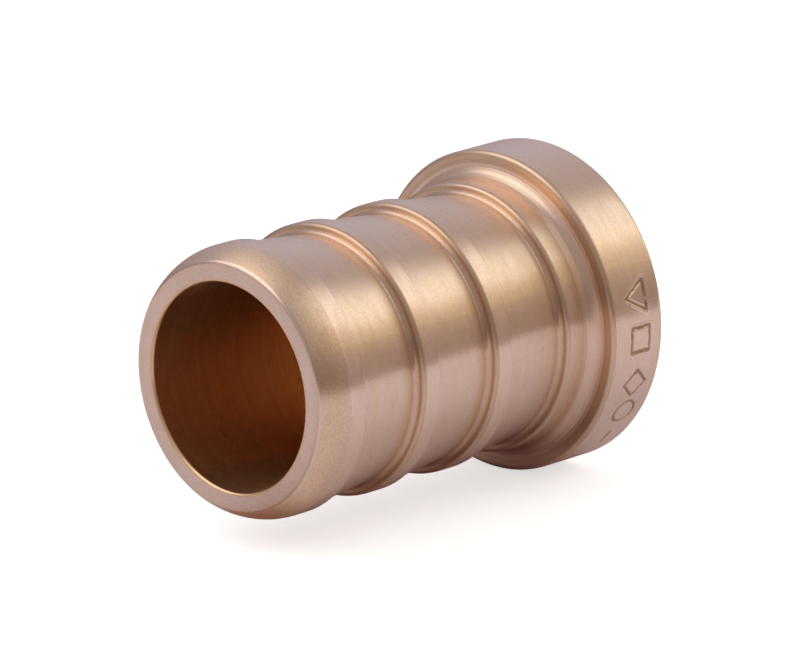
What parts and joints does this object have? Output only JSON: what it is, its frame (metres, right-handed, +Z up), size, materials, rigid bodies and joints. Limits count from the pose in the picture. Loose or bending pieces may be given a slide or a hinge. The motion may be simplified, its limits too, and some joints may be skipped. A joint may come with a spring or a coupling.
{
  "type": "barbed tube end plug",
  "caption": "One-piece turned brass end plug with a ribbed push-in barb, a blind bore and a plain round head, for closing a flexible water tube.",
  "frame": {"origin": "centre of the head's flat back face, on the turned axis", "axes": "-Y along the turned axis, from the head's back towards the open barbed end; +Z up when the plug lies on its side"},
  "size_m": [0.0142, 0.0196, 0.0142],
  "materials": {
    "turned_brass": "as-turned low-lead brass, satin with fine circumferential tool marks"
  },
  "bodies": {
    "root": {"plug_body": "turned_brass"}
  },
  "joints": []
}
